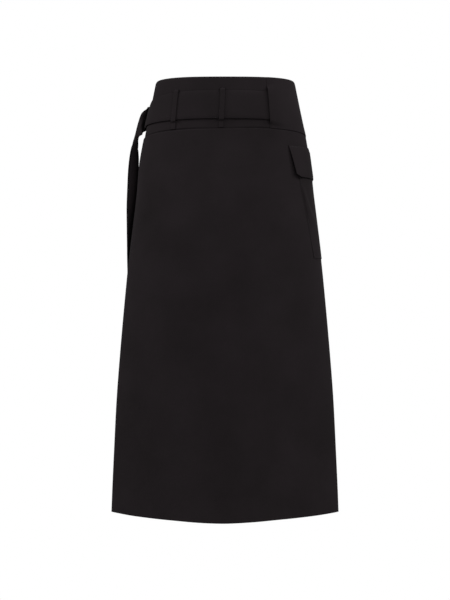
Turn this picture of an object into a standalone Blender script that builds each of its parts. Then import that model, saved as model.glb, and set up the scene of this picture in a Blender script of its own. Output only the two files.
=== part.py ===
"""Belted A-line midi skirt in near-black suiting, in the hollow shape that it has when worn.

Metres, +Z up. The origin is the middle of the waist at the belt's mid-height. The back of the
skirt faces -Y, and the pocket is on the side seam at +X.
"""

import math
from functools import lru_cache

import bmesh
import bpy
import numpy as np

# ---- Driving sizes -------------------------------------------------------------------------
TOP_Z = 0.051                 # top edge of the waistband
SEAM_Z = -0.0389              # waist seam, between waistband and skirt panels, at the centre back
SEAM_SLOPE = 0.014            # the seam hangs lower towards -X
SEAM_DROP = 0.0062            # and lower at both sides than at the centre
HEM_Z = -0.716                # level hem
FRONT_DEPTH = 0.95            # the front is a little flatter than the back

SEAM_GAP = 0.0003             # between pieces that meet edge to edge
LAY_GAP = 0.0004              # between layers that lie on each other round a curve
FLAP_GAP = 0.0007             # between the pocket's flap and its bag
PANEL_CLOTH = 0.0015          # one layer, with its share of the seams
BAND_CLOTH = 0.0020           # interfaced double layer
BELT_CLOTH = 0.0022           # doubled and pressed strip
TRIM_CLOTH = 0.0011           # belt loops, pocket and flap
BAND_STEP = 0.0012            # the waistband lies this far inside the skirt's surface

BELT_WIDTH = 0.050
BELT_RISE = 0.0030            # height of the belt's middle at the centre back
BELT_DROP = 0.0084            # how much lower it runs at both sides
BELT_SQUEEZE = 0.12           # share of its width lost where it bunches round the sides
BELT_LEAN = 0.0010            # its top edge is pulled tight and its lower edge stands off
BELT_SLACK = 0.0035           # extra room under the belt where it nears the knot
SLOT_SHARE = 0.302            # slots in the casing, as a share of a half section from the side seam
BELT_TUCK = 0.024             # the belt runs on inside the casing by this share

KNOT_PLACE = 0.066            # from the left side seam, along the front
KNOT_HALF = 0.019
KNOT_HALF_HEIGHT = 0.023
KNOT_THICK = 0.015

LOOP_WIDTH = 0.0085
LOOP_FROM_SEAM = 0.0015       # its lower end stops this far above the waist seam

# Sections of the outer surface, seen from above. y = depth * (1 - |x/width|**crown)**edge.
# lean makes the half at -X fuller than the half at +X.
#         z      width   depth   crown  edge   lean
SECTIONS = (
    (0.051, 0.1249, 0.0899, 3.00, 0.333, 0.00),
    (0.006, 0.1342, 0.0918, 2.90, 0.345, 0.00),
    (-0.039, 0.1437, 0.0937, 2.75, 0.365, 0.00),
    (-0.085, 0.1514, 0.0995, 2.55, 0.390, 0.00),
    (-0.150, 0.1586, 0.1080, 2.38, 0.420, 0.00),
    (-0.208, 0.1658, 0.1150, 2.27, 0.440, 0.00),
    (-0.266, 0.1730, 0.1195, 2.17, 0.465, 0.01),
    (-0.338, 0.1804, 0.1215, 2.00, 0.530, 0.02),
    (-0.424, 0.1882, 0.1222, 1.85, 0.640, 0.04),
    (-0.511, 0.1951, 0.1224, 1.72, 0.740, 0.06),
    (-0.597, 0.1997, 0.1225, 1.66, 0.810, 0.08),
    (-0.684, 0.2038, 0.1225, 1.60, 0.870, 0.10),
    (-0.716, 0.2050, 0.1225, 1.58, 0.890, 0.10),
)

WAIST_HALF_WIDTH = SECTIONS[2][1]

# Belt loops: name, place at the top and at the seam, as shares of the back from the right seam
LOOPS = (
    ("belt_loop_left", 0.729, 0.7305),
    ("belt_loop_centre", 0.511, 0.518),
)
# A loop above its lower end: height from the belt's middle, and how far it is raised (0 to 1)
LOOP_PROFILE = (
    (-0.0300, 0.0),
    (-0.0262, 1.0),
    (-0.0130, 1.0),
    (0.0000, 1.0),
    (0.0130, 1.0),
    (0.0254, 1.0),
    (0.0272, 0.0),
    (0.0285, 0.0),
)

# Pocket: distances along the cloth from the right side seam, towards the back and the front
#         z      back    front
BAG_EDGES = (
    (-0.074, 0.080, 0.070),
    (-0.129, 0.076, 0.070),
    (-0.216, 0.066, 0.068),
    (-0.262, 0.060, 0.067),
)
BAG_SWELL = 0.0003
FLAP_TOP_Z = -0.066
FLAP_BOTTOM_Z = -0.1210
FLAP_BACK = (0.0915, 0.0862)  # at its top and bottom
FLAP_FRONT = (0.076, 0.074)
FLAP_CUT = (0.010, 0.0045)    # cut corner, along the bottom edge and up the side

# Belt ends, row by row down the strip. Each edge has its height, its distance along the cloth
# from the left side seam towards the front, and its lift off the surface. fold is how far the
# strip is folded inwards along a line nearer its back edge.
#   edge towards the back       edge towards the front      fold
#   z       place   lift        z       place   lift
TAIL_LEFT = (
    (0.0190, 0.0460, 0.0125, -0.0240, 0.0460, 0.0105, 0.0000),
    (0.0178, 0.0370, 0.0120, -0.0260, 0.0390, 0.0095, 0.0000),
    (0.0140, 0.0310, 0.0118, -0.0285, 0.0310, 0.0085, 0.0000),
    (0.0098, 0.0290, 0.0164, -0.0305, 0.0230, 0.0076, 0.0000),
    (0.0050, 0.0280, 0.0198, -0.0322, 0.0175, 0.0070, 0.0000),
    (-0.0028, 0.0270, 0.0214, -0.0336, 0.0140, 0.0066, 0.0000),
    (-0.0105, 0.0260, 0.0219, -0.0348, 0.0120, 0.0064, 0.0000),
    (-0.0180, 0.0245, 0.0220, -0.0356, 0.0110, 0.0066, 0.0000),
    (-0.0255, 0.0220, 0.0216, -0.0366, 0.0110, 0.0078, 0.0000),
    (-0.0330, 0.0180, 0.0208, -0.0380, 0.0120, 0.0100, 0.0000),
    (-0.0410, 0.0110, 0.0200, -0.0410, 0.0140, 0.0122, 0.0008),
    (-0.0484, 0.0040, 0.0191, -0.0470, 0.0190, 0.0132, 0.0058),
    (-0.0560, 0.0010, 0.0190, -0.0555, 0.0240, 0.0158, 0.0086),
    (-0.0640, 0.0000, 0.0201, -0.0645, 0.0280, 0.0190, 0.0120),
    (-0.0850, 0.0000, 0.0203, -0.0855, 0.0310, 0.0195, 0.0160),
    (-0.1200, 0.0000, 0.0188, -0.1200, 0.0340, 0.0170, 0.0166),
    (-0.1640, 0.0000, 0.0156, -0.1640, 0.0380, 0.0130, 0.0132),
    (-0.2100, 0.0000, 0.0096, -0.2100, 0.0430, 0.0070, 0.0072),
    (-0.2500, 0.0040, 0.0045, -0.2500, 0.0520, 0.0026, 0.0024),
    (-0.2900, 0.0150, 0.0013, -0.2900, 0.0640, 0.0010, 0.0000),
    (-0.3500, 0.0310, 0.0009, -0.3500, 0.0800, 0.0009, 0.0000),
    (-0.4300, 0.0450, 0.0008, -0.4300, 0.0950, 0.0008, 0.0000),
    (-0.5200, 0.0570, 0.0008, -0.5200, 0.1070, 0.0008, 0.0000),
)
TAIL_FRONT = (
    (-0.0238, 0.0520, 0.0080, -0.0238, 0.0800, 0.0080, 0.0000),
    (-0.0330, 0.0520, 0.0078, -0.0330, 0.0830, 0.0078, 0.0000),
    (-0.0480, 0.0540, 0.0065, -0.0480, 0.0900, 0.0055, 0.0000),
    (-0.0900, 0.0650, 0.0030, -0.0900, 0.1110, 0.0025, 0.0000),
    (-0.1500, 0.0800, 0.0013, -0.1500, 0.1290, 0.0013, 0.0000),
    (-0.2300, 0.0950, 0.0010, -0.2300, 0.1450, 0.0010, 0.0000),
    (-0.3200, 0.1080, 0.0009, -0.3200, 0.1580, 0.0009, 0.0000),
    (-0.4550, 0.1220, 0.0009, -0.4550, 0.1720, 0.0009, 0.0000),
)

# ---- How finely each piece is divided ------------------------------------------------------
PANEL_GRID = (40, 20)
BAND_GRID = (40, 4)
CASING_GRID = (32, 8)
BELT_GRID = (52, 4)
TAIL_GRID = (4, 50)
TAIL_STEP = 0.004             # spacing used to find which way a belt end faces
FOLD_SKEW = 0.6               # below 1, its lengthwise fold lies nearer its back edge
BAG_GRID = (16, 8)
FLAP_GRID = (24, 4)
SECTION_POINTS = 240

# ---- Cloth colours, linear -----------------------------------------------------------------
SUITING = (0.0130, 0.0116, 0.0123, 1.0)
SUITING_ROUGHNESS = 0.78


def smooth_table(rows, key, columns):
    """Value of each column at key, on a smooth curve through the rows."""
    table = np.array(rows, dtype=float)
    keys = table[:, 0]
    if keys[0] > keys[-1]:
        table = table[::-1]
        keys = table[:, 0]
    key = min(max(key, keys[0]), keys[-1])
    i = min(int(np.searchsorted(keys, key, side="right")) - 1, len(keys) - 2)
    step = keys[i + 1] - keys[i]
    t = (key - keys[i]) / step
    values = table[:, columns]
    slopes = np.gradient(values, keys, axis=0)
    start = (2 * t ** 3 - 3 * t ** 2 + 1) * values[i] + (t ** 3 - 2 * t ** 2 + t) * step * slopes[i]
    end = (3 * t ** 2 - 2 * t ** 3) * values[i + 1] + (t ** 3 - t ** 2) * step * slopes[i + 1]
    return start + end


@lru_cache(maxsize=None)
def half_section(z, front):
    """Even points along the front or back half of the section at z, from the +X seam to the -X
    seam, with mitred outward normals, and the half's length."""
    width, depth, crown, edge, lean = smooth_table(SECTIONS, z, slice(1, 6))
    angle = np.linspace(0.0, math.pi, 4 * SECTION_POINTS + 1)
    share = np.cos(angle)
    crowns = np.where(share < 0.0, crown + lean, crown - lean)
    y = depth * np.clip(1.0 - np.abs(share) ** crowns, 0.0, 1.0) ** edge
    line = np.column_stack((width * share, y * FRONT_DEPTH if front else -y))
    run = np.concatenate(([0.0], np.cumsum(np.linalg.norm(np.diff(line, axis=0), axis=1))))
    even = np.linspace(0.0, run[-1], SECTION_POINTS + 1)
    points = np.column_stack([np.interp(even, run, line[:, axis]) for axis in range(2)])
    steps = np.diff(points, axis=0)
    steps /= np.linalg.norm(steps, axis=1)[:, None]
    turn = 1.0 if front else -1.0
    faces = turn * np.column_stack((steps[:, 1], -steps[:, 0]))
    before = np.vstack(([[faces[0, 0], -faces[0, 1]]], faces))
    after = np.vstack((faces, [[faces[-1, 0], -faces[-1, 1]]]))
    normals = before + after
    normals /= np.linalg.norm(normals, axis=1)[:, None]
    mitre = np.clip(np.sum(normals * after, axis=1), 0.5, 1.0)
    return points, normals / mitre[:, None], run[-1]


def around(z, place, lift):
    """Point at height z. place runs from 0 at the +X seam along the back to 1 at the -X seam,
    then along the front to 2; lift is the distance outside the skirt's surface."""
    place = place % 2.0
    front = place > 1.0
    share = 2.0 - place if front else place
    points, normals, _length = half_section(round(z, 7), front)
    at = share * SECTION_POINTS
    i = min(int(at), SECTION_POINTS - 1)
    t = at - i
    point = points[i] * (1.0 - t) + points[i + 1] * t
    normal = normals[i] * (1.0 - t) + normals[i + 1] * t
    x, y = point + lift * normal
    return [float(x), float(y), z]


def half_length(z, front):
    return half_section(round(z, 7), front)[2]


def from_left_seam(z, distance):
    """Place of a point on the front, at a distance along the cloth from the -X seam."""
    return 1.0 + distance / half_length(z, True)


def from_right_seam(z, distance):
    """Place at a distance from the +X seam, negative towards the back."""
    if distance < 0.0:
        return -distance / half_length(z, False)
    return 2.0 - distance / half_length(z, True)


def seam_height(place):
    """Height of the waist seam at a place."""
    x = around(SEAM_Z, place, 0.0)[0]
    return SEAM_Z + SEAM_SLOPE * x - SEAM_DROP * (x / WAIST_HALF_WIDTH) ** 4


def belt_middle(place):
    """Height of the belt's middle at a place."""
    x = around(0.0, place, 0.0)[0]
    return BELT_RISE - BELT_DROP * abs(x / WAIST_HALF_WIDTH) ** 3


def belt_width(place):
    """The belt's width as it lies at a place."""
    x = around(0.0, place, 0.0)[0]
    return BELT_WIDTH * (1.0 - BELT_SQUEEZE * (x / WAIST_HALF_WIDTH) ** 4)


def mix(a, b, t):
    return a * (1.0 - t) + b * t


def ease(t):
    t = min(max(t, 0.0), 1.0)
    return t * t * (3.0 - 2.0 * t)


def suiting(name):
    """Plain woven suiting, near black and matt."""
    material = bpy.data.materials.new(name + "_suiting")
    material.use_nodes = True
    shader = material.node_tree.nodes["Principled BSDF"]
    shader.inputs["Base Color"].default_value = SUITING
    shader.inputs["Roughness"].default_value = SUITING_ROUGHNESS
    shader.inputs["Metallic"].default_value = 0.0
    return material


def finish_object(name, bm):
    bmesh.ops.recalc_face_normals(bm, faces=bm.faces)
    if bm.calc_volume(signed=True) < 0.0:
        bmesh.ops.reverse_faces(bm, faces=bm.faces)
    mesh = bpy.data.meshes.new(name)
    bm.to_mesh(mesh)
    bm.free()
    mesh.shade_smooth()
    mesh.set_sharp_from_angle(angle=math.radians(40))
    mesh.materials.append(suiting(name))
    piece = bpy.data.objects.new(name, mesh)
    piece.parent = waist
    bpy.context.collection.objects.link(piece)
    return piece


def cloth(name, grid, place_point):
    """A cloth wall. A flat grid is extruded once, and place_point(u, v, inner) says where each
    point goes: u and v run from 0 to 1 over the cloth, and inner is True on its inner face."""
    bm = bmesh.new()
    bmesh.ops.create_grid(bm, x_segments=grid[0], y_segments=grid[1], size=0.5)
    extruded = bmesh.ops.extrude_face_region(bm, geom=list(bm.faces))
    inner = {part for part in extruded["geom"] if isinstance(part, bmesh.types.BMVert)}
    for vert in bm.verts:
        vert.co = place_point(vert.co.x + 0.5, vert.co.y + 0.5, vert in inner)
    return finish_object(name, bm)


def keep_off_side_seam(point, front):
    """Front and back pieces stop half a gap short of the side seams' plane."""
    limit = SEAM_GAP / 2
    point[1] = max(point[1], limit) if front else min(point[1], -limit)
    return point


def skirt_panel(name, front):
    def place_point(u, v, inner):
        place = 2.0 - u if front else u
        top = seam_height(place) - SEAM_GAP / 2
        z = mix(top, HEM_Z, v)
        return keep_off_side_seam(around(z, place, -PANEL_CLOTH if inner else 0.0), front)

    return cloth(name, PANEL_GRID, place_point)


def waistband(name, front):
    def place_point(u, v, inner):
        place = 2.0 - u if front else u
        z = mix(seam_height(place) + SEAM_GAP / 2, TOP_Z, v)
        lift = -BAND_STEP - (BAND_CLOTH if inner else 0.0)
        return keep_off_side_seam(around(z, place, lift), front)

    return cloth(name, BAND_GRID, place_point)


def belt_lift(z, place):
    """Lift of the belt's inner face. Its top edge is pulled tight all the way, and the rest of it
    is slack from the left side to the knot."""
    below_top = 0.5 - (z - belt_middle(place)) / BELT_WIDTH
    slack = BELT_SLACK * ease((place - 0.90) / 0.16) * ease((1.70 - place) / 0.30)
    slack *= mix(0.25, 1.0, ease(below_top / 0.4))
    return -BAND_STEP + LAY_GAP + slack + BELT_LEAN * below_top


def belt_run(name, start, end):
    """A stretch of belt on the waistband."""
    def place_point(u, v, inner):
        place = mix(start, end, u)
        z = belt_middle(place) + belt_width(place) * (v - 0.5)
        lift = belt_lift(z, place) + (0.0 if inner else BELT_CLOTH)
        return around(z, place, lift)

    return cloth(name, BELT_GRID, place_point)


def casing():
    """Outer layer of the waistband over the right side. The belt goes in at both of its ends,
    so it is raised there, and it lies flat on the band along the side."""
    under_belt = BELT_CLOTH + BELT_LEAN + LAY_GAP
    clear_of_belt = BELT_WIDTH / 2 + 0.001

    def place_point(u, v, inner):
        share = mix(-SLOT_SHARE, SLOT_SHARE, u)
        place = share % 2.0
        low = seam_height(place) + SEAM_GAP / 2
        z = mix(low, TOP_Z, v)
        middle = belt_middle(place)
        past_belt = max(abs(z - middle) - clear_of_belt, 0.0)
        room = (TOP_Z - middle if z > middle else middle - low) - clear_of_belt
        over_height = 1.0 - ease(past_belt / room)
        inside = (SLOT_SHARE - abs(share)) - BELT_TUCK
        over_run = 1.0 - ease(inside / 0.06)
        lift = -BAND_STEP + LAY_GAP + under_belt * over_height * over_run
        return around(z, place, lift + (0.0 if inner else TRIM_CLOTH))

    return cloth("waistband_casing", CASING_GRID, place_point)


def belt_loop(name, top_place, seam_place):
    middle = belt_middle(mix(seam_place, top_place, 0.5))
    heights = [seam_height(seam_place) + LOOP_FROM_SEAM, *(middle + row[0] for row in LOOP_PROFILE)]
    raised = [0.0, *(row[1] for row in LOOP_PROFILE)]
    steps = np.linspace(0.0, 1.0, len(heights))

    def place_point(u, v, inner):
        z = float(np.interp(v, steps, heights))
        over_belt = float(np.interp(v, steps, raised))
        centre = mix(seam_place, top_place, (z - heights[0]) / (heights[-1] - heights[0]))
        place = centre + (u - 0.5) * LOOP_WIDTH / half_length(z, False)
        flat = -BAND_STEP + LAY_GAP
        lift = mix(flat, belt_lift(z, place) + BELT_CLOTH + LAY_GAP, over_belt)
        return around(z, place, lift + (0.0 if inner else TRIM_CLOTH))

    return cloth(name, (2, len(heights) - 1), place_point)


def belt_knot():
    """Half knot: a soft rounded pad of crossed cloth, wrapped on the belt."""
    bm = bmesh.new()
    bmesh.ops.create_uvsphere(bm, u_segments=24, v_segments=14, radius=1.0)
    height = belt_middle(knot_place)
    length = half_length(height, True)
    base = belt_lift(height - BELT_WIDTH / 2, knot_place) + BELT_CLOTH + LAY_GAP
    for vert in bm.verts:
        across, out, up = [math.copysign(abs(c) ** 0.75, c) for c in vert.co]
        waisted = 1.0 - 0.18 * (1.0 - abs(across))
        place = knot_place + across * KNOT_HALF / length
        lift = base + KNOT_THICK * (out + 1.0) / 2
        vert.co = around(height + up * KNOT_HALF_HEIGHT * waisted, place, lift)
    return finish_object("belt_knot", bm)


def belt_tail(name, rows):
    """An end of the belt, from the knot down, worked out from its two edges. Its wall stands
    square on the strip, because the strip turns as it falls."""
    steps = np.linspace(0.0, 1.0, len(rows))
    keyed = [(step, *row) for step, row in zip(steps, rows)]

    def face(u, v):
        back_z, back_place, back_lift, front_z, front_place, front_lift = smooth_table(
            keyed, v, slice(1, 7))
        z = mix(back_z, front_z, u)
        distance = mix(back_place, front_place, u)
        return np.array(around(z, from_left_seam(z, distance), mix(back_lift, front_lift, u)))

    def place_point(u, v, inner):
        across = face(u + TAIL_STEP, v) - face(u - TAIL_STEP, v)
        down = face(u, v + TAIL_STEP) - face(u, v - TAIL_STEP)
        square = np.cross(across, down)
        fold = float(smooth_table(keyed, v, slice(7, 8))[0])
        out = (0.0 if inner else BELT_CLOTH) - fold * math.sin(math.pi * u ** FOLD_SKEW)
        return face(u, v) + out * square / np.linalg.norm(square)

    return cloth(name, TAIL_GRID, place_point)


def pocket_bag():
    def place_point(u, v, inner):
        z = mix(BAG_EDGES[-1][0], BAG_EDGES[0][0], v)
        back, front = smooth_table(BAG_EDGES, z, slice(1, 3))
        distance = mix(-back, front, u)
        swell = BAG_SWELL * math.sin(math.pi * u) * math.sin(math.pi * min(v * 1.5, 1.0))
        lift = LAY_GAP + swell + (0.0 if inner else TRIM_CLOTH)
        return around(z, from_right_seam(z, distance), lift)

    return cloth("pocket_bag", BAG_GRID, place_point)


def pocket_flap():
    def place_point(u, v, inner):
        back = mix(FLAP_BACK[1], FLAP_BACK[0], v)
        front = mix(FLAP_FRONT[1], FLAP_FRONT[0], v)
        distance = mix(-back, front, u)
        to_edge = min(distance + back, front - distance)
        cut = FLAP_CUT[1] * max(0.0, 1.0 - to_edge / FLAP_CUT[0])
        z = mix(FLAP_BOTTOM_Z + cut, FLAP_TOP_Z, v)
        over_bag = 1.0 - ease((z - BAG_EDGES[0][0]) / (FLAP_TOP_Z - BAG_EDGES[0][0]))
        lift = LAY_GAP + (TRIM_CLOTH + FLAP_GAP + BAG_SWELL) * over_bag
        return around(z, from_right_seam(z, distance), lift + (0.0 if inner else TRIM_CLOTH))

    return cloth("pocket_flap", FLAP_GRID, place_point)


for old in list(bpy.data.objects):
    bpy.data.objects.remove(old, do_unlink=True)

waist = bpy.data.objects.new("waist", None)
bpy.context.collection.objects.link(waist)

knot_place = from_left_seam(0.0, KNOT_PLACE)
half_gap = SEAM_GAP / 2 / half_length(0.0, True)
skirt_panel("skirt_back", front=False)
skirt_panel("skirt_front", front=True)
waistband("waistband_back", front=False)
waistband("waistband_front", front=True)
casing()
belt_run("belt_back", SLOT_SHARE - BELT_TUCK, knot_place - half_gap)
belt_run("belt_front", knot_place + half_gap, 2.0 - SLOT_SHARE + BELT_TUCK)
for loop_name, at_top, at_seam in LOOPS:
    belt_loop(loop_name, at_top, at_seam)
belt_knot()
belt_tail("belt_tail_left", TAIL_LEFT)
belt_tail("belt_tail_front", TAIL_FRONT)
pocket_bag()
pocket_flap()
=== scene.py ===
# %% [markdown]
# # A belted A-line midi skirt, dressed in cloth
#
# The construction of this skirt is already settled: two flared panels, a deep shaped waistband,
# a tie belt through loops, and a flapped pocket on one side seam. This script gives each of those
# pieces its cloth: soft rounded edges, pressed folds, stitches, and a near-black crepe suiting.
# Everything is in metres, the back of the skirt faces -Y, and +Z is up.

# %% Load the construction as a fixed frame
import math

import bmesh
import bpy
import numpy as np
from mathutils import Matrix, Vector


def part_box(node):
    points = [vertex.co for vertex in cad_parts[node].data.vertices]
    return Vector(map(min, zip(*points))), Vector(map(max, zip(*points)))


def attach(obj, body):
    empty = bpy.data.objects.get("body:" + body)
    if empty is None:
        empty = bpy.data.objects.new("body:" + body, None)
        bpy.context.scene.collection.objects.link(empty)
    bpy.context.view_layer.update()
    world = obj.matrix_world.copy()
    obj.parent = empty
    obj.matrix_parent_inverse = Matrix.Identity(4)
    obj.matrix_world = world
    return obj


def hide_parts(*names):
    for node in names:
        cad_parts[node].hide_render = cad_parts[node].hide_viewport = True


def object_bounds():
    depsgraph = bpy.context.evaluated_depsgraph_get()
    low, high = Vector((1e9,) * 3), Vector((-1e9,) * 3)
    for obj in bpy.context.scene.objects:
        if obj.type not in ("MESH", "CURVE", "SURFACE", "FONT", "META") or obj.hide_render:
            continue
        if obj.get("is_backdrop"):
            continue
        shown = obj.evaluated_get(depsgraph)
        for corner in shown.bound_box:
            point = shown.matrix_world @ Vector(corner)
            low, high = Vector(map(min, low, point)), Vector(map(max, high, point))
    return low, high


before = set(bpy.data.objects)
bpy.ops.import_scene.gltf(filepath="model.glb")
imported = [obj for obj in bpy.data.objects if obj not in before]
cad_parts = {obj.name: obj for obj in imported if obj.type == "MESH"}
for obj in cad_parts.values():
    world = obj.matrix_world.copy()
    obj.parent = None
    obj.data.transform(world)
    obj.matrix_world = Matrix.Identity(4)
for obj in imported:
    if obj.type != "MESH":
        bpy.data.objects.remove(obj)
cad_low, cad_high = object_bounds()
print("nodes:", ", ".join(sorted(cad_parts)))

# %% [markdown]
# ## The form of the skirt
#
# Seen from above, the waist is a rounded box, the hips are an oval, and the hem is a lens whose
# corners are the pressed side seams. A formula with an exponent for the crown of the curve and one
# for its ends makes all three, so a short table of sections describes the whole skirt. A smooth
# curve through the rows then gives the section at any height.

# %% Sizes and sections
TOP_Z = 0.051
SEAM_Z = -0.0389
SEAM_SLOPE = 0.014
SEAM_DROP = 0.0062
HEM_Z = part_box("skirt_back")[0][2]
FRONT_DEPTH = 0.95
GAP = 0.0003

#         z      width   depth   crown  edge   lean
SECTIONS = np.array((
    (0.051, 0.1249, 0.0899, 3.00, 0.333, 0.00),
    (0.006, 0.1342, 0.0918, 2.90, 0.345, 0.00),
    (-0.039, 0.1437, 0.0937, 2.75, 0.365, 0.00),
    (-0.085, 0.1514, 0.0995, 2.55, 0.390, 0.00),
    (-0.150, 0.1586, 0.1080, 2.38, 0.420, 0.00),
    (-0.208, 0.1658, 0.1150, 2.27, 0.440, 0.00),
    (-0.266, 0.1730, 0.1195, 2.17, 0.465, 0.01),
    (-0.338, 0.1804, 0.1215, 2.00, 0.530, 0.02),
    (-0.424, 0.1882, 0.1222, 1.85, 0.640, 0.04),
    (-0.511, 0.1951, 0.1224, 1.72, 0.740, 0.06),
    (-0.597, 0.1997, 0.1225, 1.66, 0.810, 0.08),
    (-0.684, 0.2038, 0.1225, 1.60, 0.870, 0.10),
    (-0.716, 0.2050, 0.1225, 1.58, 0.890, 0.10),
))
WAIST_HALF_WIDTH = SECTIONS[2, 1]


def smooth_rows(rows, key):
    """Every column after the first, at key, on a smooth curve through the rows."""
    rows = np.asarray(rows, dtype=float)
    rows = rows[np.argsort(rows[:, 0])]
    keys, values = rows[:, 0], rows[:, 1:]
    key = np.clip(np.asarray(key, dtype=float), keys[0], keys[-1])
    i = np.clip(np.searchsorted(keys, key, side="right") - 1, 0, len(keys) - 2)
    step = (keys[i + 1] - keys[i])[..., None]
    t = (key - keys[i])[..., None] / step
    slopes = np.gradient(values, keys, axis=0)
    start = (2 * t ** 3 - 3 * t ** 2 + 1) * values[i] + (t ** 3 - 2 * t ** 2 + t) * step * slopes[i]
    end = (3 * t ** 2 - 2 * t ** 3) * values[i + 1] + (t ** 3 - t ** 2) * step * slopes[i + 1]
    return start + end


# %% [markdown]
# ## A map of the surface
#
# Each piece lies on the skirt, so it helps to have one function that turns "this high, this far
# round, this far off the cloth" into a point. The sections are worked out once, every few
# millimetres of height, and the function looks between them. `place` runs from 0 at the +X side
# seam along the back to 1 at the -X side seam, then along the front to 2.

# %% Work the sections out once
POINTS = 320
LEVEL_STEP = 0.003
levels = np.arange(HEM_Z - LEVEL_STEP, TOP_Z + 2 * LEVEL_STEP, LEVEL_STEP)


def half_section(z, front):
    """Even points along one half of a section, outward normals, and the half's length."""
    width, depth, crown, edge, lean = smooth_rows(SECTIONS, z)
    share = np.cos(np.linspace(0.0, math.pi, 4 * POINTS + 1))
    crowns = np.where(share < 0.0, crown + lean, crown - lean)
    y = depth * np.clip(1.0 - np.abs(share) ** crowns, 0.0, 1.0) ** edge
    line = np.column_stack((width * share, y * FRONT_DEPTH if front else -y))
    run = np.concatenate(([0.0], np.cumsum(np.linalg.norm(np.diff(line, axis=0), axis=1))))
    even = np.linspace(0.0, run[-1], POINTS + 1)
    points = np.column_stack([np.interp(even, run, line[:, axis]) for axis in range(2)])
    steps = np.diff(points, axis=0)
    steps /= np.linalg.norm(steps, axis=1)[:, None]
    faces = (1.0 if front else -1.0) * np.column_stack((steps[:, 1], -steps[:, 0]))
    before = np.vstack(([[faces[0, 0], -faces[0, 1]]], faces))
    after = np.vstack((faces, [[faces[-1, 0], -faces[-1, 1]]]))
    normals = before + after
    normals /= np.linalg.norm(normals, axis=1)[:, None]
    mitre = np.clip(np.sum(normals * after, axis=1), 0.5, 1.0)
    return points, normals / mitre[:, None], run[-1]


halves = [[half_section(z, front) for front in (False, True)] for z in levels]
MAP_POINTS = np.array([[half[0] for half in row] for row in halves])
MAP_NORMALS = np.array([[half[1] for half in row] for row in halves])
MAP_LENGTHS = np.array([[half[2] for half in row] for row in halves])


def between_levels(z):
    level = np.clip((z - levels[0]) / LEVEL_STEP, 0.0, len(levels) - 1.001)
    low = level.astype(int)
    return low, level - low


def surface(z, place, lift):
    """Points at heights z, places round the skirt, and lifts off its surface."""
    z, place, lift = np.broadcast_arrays(*(np.asarray(a, dtype=float) for a in (z, place, lift)))
    place = place % 2.0
    front = (place > 1.0).astype(int)
    along = np.where(front == 1, 2.0 - place, place) * POINTS
    k = np.minimum(along.astype(int), POINTS - 1)
    t = (along - k)[..., None]
    low, up = between_levels(z)
    up = up[..., None]

    def look(table):
        lower = table[low, front, k] * (1 - t) + table[low, front, k + 1] * t
        upper = table[low + 1, front, k] * (1 - t) + table[low + 1, front, k + 1] * t
        return lower * (1 - up) + upper * up

    flat = look(MAP_POINTS) + look(MAP_NORMALS) * lift[..., None]
    return np.concatenate((flat, z[..., None]), axis=-1)


def half_length(z, front):
    low, up = between_levels(np.asarray(z, dtype=float))
    return MAP_LENGTHS[low, int(front)] * (1 - up) + MAP_LENGTHS[low + 1, int(front)] * up


def from_left_seam(z, distance):
    """Place of a point on the front, measured along the cloth from the -X seam."""
    return 1.0 + distance / half_length(z, True)


def from_right_seam(z, distance):
    """Place measured from the +X seam, negative towards the back."""
    back = -distance / half_length(z, False)
    front = 2.0 - distance / half_length(z, True)
    return np.where(distance < 0.0, back, front)


def seam_height(place):
    """The waist seam slopes a little, and dips towards both sides."""
    x = surface(SEAM_Z, place, 0.0)[..., 0]
    return SEAM_Z + SEAM_SLOPE * x - SEAM_DROP * (x / WAIST_HALF_WIDTH) ** 4


print("waist", round(float(half_length(TOP_Z, 0) + half_length(TOP_Z, 1)), 3), "m round,",
      "hem", round(float(half_length(HEM_Z, 0) + half_length(HEM_Z, 1)), 3), "m round")

# %% [markdown]
# ## How a piece of cloth is made
#
# Cloth is a thin wall with soft edges. A flat grid is extruded once, which gives it an outside, an
# inside and a rim; its points are then laid on the skirt; and the rim's edges are bevelled, because
# cut or folded cloth is never sharp. The grid's rows crowd together near the edges, where cloth
# bends most. The UV map keeps the flat cloth's own millimetres, so that the weave follows each
# piece as it would on a cutting table.

# %% The cloth maker
CROWDING = 0.86
RIM_ANGLE = math.radians(50)
RIM_SEGMENTS = 3


def crowd(t, amount=CROWDING):
    """Evenly spaced t from 0 to 1, pushed towards both ends."""
    return t - amount * np.sin(2 * math.pi * t) / (2 * math.pi)


def ease(t):
    t = np.clip(t, 0.0, 1.0)
    return t * t * (3.0 - 2.0 * t)


def mix(a, b, t):
    return a * (1.0 - t) + b * t


def hump(t, middle, width):
    """A soft bell, 1 high at middle."""
    return np.exp(-((t - middle) / width) ** 2)


def to_object(name, bm, material):
    bmesh.ops.recalc_face_normals(bm, faces=bm.faces)
    if bm.calc_volume(signed=True) < 0.0:
        bmesh.ops.reverse_faces(bm, faces=bm.faces)
    mesh = bpy.data.meshes.new(name)
    bm.to_mesh(mesh)
    bm.free()
    mesh.shade_smooth()
    mesh.materials.append(material)
    piece = bpy.data.objects.new(name, mesh)
    bpy.context.collection.objects.link(piece)
    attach(piece, "root")
    return piece


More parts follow.
